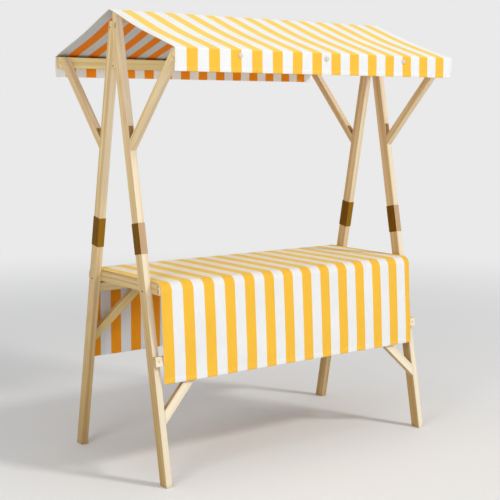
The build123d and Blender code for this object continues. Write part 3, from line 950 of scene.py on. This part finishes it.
def make_screws():
    """Screws in the stretchers, side rails and apex blocks, and bolts and pins through the legs."""
    stretcher_half_thickness = 11.0 * MM
    stretcher_screw_radius = {"front": 4.5 * MM, "rear": 3.6 * MM}
    rail_screw_depths, rail_screw_inset, rail_screw_radius = (13 * MM, 33 * MM), 12 * MM, 3.2 * MM
    bolt_depth, bolt_radius = 37 * MM, 4.2 * MM
    block_screws = ((9 * MM, 3.4 * MM), (34 * MM, 1.8 * MM))     # height above the block's foot, radius
    top_screw_height, top_screw_inset, top_screw_radius = 1.866, 13 * MM, 3.6 * MM
    pin_height, pin_inset = 1.872, 12 * MM

    leg_x = (leg_lo.x + leg_hi.x) / 2
    rail_top, rail_end = side_rail_hi.z, side_rail_hi.y
    vertices, faces = [], []
    brass_vertices, brass_faces = [], []
    for end, out in outward.items():
        lo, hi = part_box(f"{end}_stretcher")
        slope = Vector((0, out * math.cos(leg_lean), math.sin(leg_lean)))
        for way in towards.values():
            middle = Vector((-way * leg_x, (lo.y + hi.y) / 2, (lo.z + hi.z) / 2))
            screw_head(brass_vertices, brass_faces, middle + slope * stretcher_half_thickness, slope,
                       stretcher_screw_radius[end])

            for depth in rail_screw_depths:
                place = (way * -side_rail_lo.x, out * (rail_end - rail_screw_inset), rail_top - depth)
                screw_head(vertices, faces, place, (way, 0, 0), rail_screw_radius)

            bolt_z = rail_top - bolt_depth
            place = (way * -leg_lo.x, out * leg_middle(bolt_z), bolt_z)
            screw_head(vertices, faces, place, (way, 0, 0), bolt_radius)

    block_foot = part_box("left_apex_block")[0].z
    for way in towards.values():
        leg_face = way * -leg_lo.x
        for height, radius in block_screws:
            screw_head(vertices, faces, (leg_face, 0, block_foot + height), (way, 0, 0), radius)
        place = (leg_face, outer_edge(top_screw_height) - top_screw_inset, top_screw_height)
        screw_head(vertices, faces, place, (way, 0, 0), top_screw_radius)
        slotted_pin(vertices, faces, (leg_face, pin_inset - outer_edge(pin_height), pin_height), way)

    black = screw_metal("screw_black", SCREW_DARK, SCREW_WORN, 0.85)
    brass = screw_metal("screw_brass", BRASS_BRIGHT, BRASS_DULL, 0.15)
    for piece in (new_piece("screws", vertices, faces, black),
                  new_piece("stretcher_screws", brass_vertices, brass_faces, brass)):
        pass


def add_ring(vertices, faces, spot, radius, tube, turns=40, tube_turns=10):
    """Adds a raised ring: spot(radius, angle, rise) gives the place of a point."""
    first = len(vertices)
    for turn in range(turns):
        angle = 2 * math.pi * turn / turns
        for k in range(tube_turns):
            roll = 2 * math.pi * k / tube_turns
            vertices.append(spot(radius + tube * math.cos(roll), angle, tube * math.sin(roll)))
    for turn in range(turns):
        for k in range(tube_turns):
            p = first + turn * tube_turns
            q = first + (turn + 1) % turns * tube_turns
            after = (k + 1) % tube_turns
            faces.append((p + k, q + k, q + after, p + after))


def add_dome(vertices, faces, spot, radius, rise, sink, turns=40, rings=7):
    """Adds a low dome whose edge sinks a little into the button."""
    first = len(vertices)
    for ring in range(rings):
        slant = ring / (rings - 1) * math.pi / 2
        for turn in range(turns):
            angle = 2 * math.pi * turn / turns
            vertices.append(spot(radius * math.sin(slant), angle, rise * math.cos(slant) - sink))
    join_rings(faces, first, rings, turns)


def make_button_caps():
    """A raised ring and a low dome on each valance button."""
    vertices, faces = [], []
    for end, out in outward.items():
        lo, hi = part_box(f"{end}_valance_buttons")
        face_y = lo.y if out < 0 else hi.y
        for place in (-1, 0, 1):
            centre = Vector((place * button_spacing, face_y, (lo.z + hi.z) / 2))

            def spot(radius, angle, rise):
                return centre + Vector((radius * math.cos(angle), out * rise, radius * math.sin(angle)))

            add_ring(vertices, faces, spot, radius=6.6 * MM, tube=0.9 * MM)
            add_dome(vertices, faces, spot, radius=4.4 * MM, rise=1.3 * MM, sink=0.05 * MM)
    caps = new_piece("button_caps", vertices, faces, button_shell("button_cap_shell"))


# Stage, light and camera.
def make_floor():
    """Pale floor that keeps the shadow near the stall and melts into the background far away."""
    size, rings, turns = 40.0, 24, 96
    fade_from, fade_to = 2.2, 7.0
    vertices = [(0.0, 0.0, 0.0)]
    faces = []
    for ring in range(1, rings + 1):
        radius = size * (ring / rings) ** 2
        for turn in range(turns):
            angle = 2 * math.pi * turn / turns
            vertices.append((radius * math.cos(angle), radius * math.sin(angle), 0.0))
    for turn in range(turns):
        faces.append((0, 1 + turn, 1 + (turn + 1) % turns))
    join_rings(faces, 1, rings, turns)
    mesh = bpy.data.meshes.new("floor")
    mesh.from_pydata(vertices, [], faces)
    floor = bpy.data.objects.new("floor", mesh)
    bpy.context.collection.objects.link(floor)

    material, n, shader = new_material("floor_pale")
    n.feed(shader["Base Color"], FLOOR_PALE)
    shader["Roughness"].default_value = 0.9
    shader["Specular IOR Level"].default_value = 0.1
    place = n.add("ShaderNodeTexCoord").outputs["Object"]
    far = n.add("ShaderNodeVectorMath", operation="LENGTH")
    n.feed(far.inputs[0], place)
    fade = n.remap(far.outputs["Value"], fade_from, fade_to, smooth=True)
    glow = n.add("ShaderNodeEmission")
    glow.inputs["Color"].default_value = BACKGROUND
    blend = n.add("ShaderNodeMixShader")
    for socket, value in zip(blend.inputs, (fade, n.shader.outputs[0], glow.outputs[0])):
        n.feed(socket, value)
    n.feed(n.output.inputs[0], blend.outputs[0])
    mesh.materials.append(material)


def make_world():
    """Even pale surroundings: seen plainly by the camera and in reflections, softer as a light."""
    world = bpy.data.worlds.new("studio")
    world.use_nodes = True
    world.node_tree.nodes.clear()
    n = Nodes(world.node_tree)
    rays = n.add("ShaderNodeLightPath").outputs
    seen = n.math("MAXIMUM", rays["Is Camera Ray"],
                  n.math("MAXIMUM", rays["Is Glossy Ray"], rays["Is Transmission Ray"]))
    shown, light = n.add("ShaderNodeBackground"), n.add("ShaderNodeBackground")
    shown.inputs["Color"].default_value = BACKGROUND
    light.inputs["Color"].default_value = AMBIENT
    light.inputs["Strength"].default_value = AMBIENT_STRENGTH
    blend = n.add("ShaderNodeMixShader")
    for socket, value in zip(blend.inputs, (seen, light.outputs[0], shown.outputs[0])):
        n.feed(socket, value)
    n.feed(n.add("ShaderNodeOutputWorld").inputs[0], blend.outputs[0])
    bpy.context.scene.world = world


def area_lamp(name, place, aim, size, power, colour):
    """A round soft lamp at a place, turned to a point."""
    lamp = bpy.data.lights.new(name, "AREA")
    lamp.shape, lamp.size, lamp.energy, lamp.color = "DISK", size, power, colour
    holder = bpy.data.objects.new(name, lamp)
    holder.location = place
    holder.rotation_euler = (Vector(aim) - Vector(place)).to_track_quat("-Z", "Y").to_euler()
    bpy.context.collection.objects.link(holder)


def make_lamps():
    """A high key lamp in front and to the right, and three weak ones that open the shade."""
    area_lamp("key_lamp", (4.5, -7.8, 8.1), (0, 0, 1.1), 1.8, 515, (1.0, 0.975, 0.94))
    area_lamp("front_lamp", (2.1, -4.9, 2.1), (-0.7, -0.2, 1.0), 1.2, 8, (1.0, 0.95, 0.90))
    area_lamp("fill_lamp", (-3.6, -1.7, 2.5), (-0.7, 0, 1.5), 1.8, 37, (1.0, 0.99, 0.95))
    area_lamp("top_lamp", (0, -0.8, 5.8), (0, 0, 1.9), 2.6, 30, (1.0, 1.0, 0.97))


def make_camera():
    """Looks from the front and left, a little below the eaves."""
    place = Vector((-2.9966, -4.0083, 1.5311))
    yaw, pitch, roll = math.radians(36.534), math.radians(-7.382), math.radians(0.085)
    focal_pixels, image_pixels, sensor = 1086.6, 500.0, 36.0
    ahead = Vector((math.sin(yaw) * math.cos(pitch), math.cos(yaw) * math.cos(pitch), math.sin(pitch)))
    lens = bpy.data.cameras.new("camera")
    lens.sensor_width = sensor
    lens.lens = focal_pixels / image_pixels * sensor
    lens.clip_end = 200.0
    camera = bpy.data.objects.new("camera", lens)
    level = ahead.to_track_quat("-Z", "Y").to_matrix().to_4x4()
    camera.matrix_world = Matrix.Translation(place) @ level @ Matrix.Rotation(roll, 4, "Z")
    bpy.context.collection.objects.link(camera)
    bpy.context.scene.camera = camera


cotton = cotton_thread("cotton_thread")
dress_timbers_and_steel()
make_canopy(cotton)
make_tablecloth(cotton)
make_screws()
make_button_caps()
make_floor()
make_world()
make_lamps()
make_camera()
bpy.context.scene.view_settings.view_transform = "Standard"
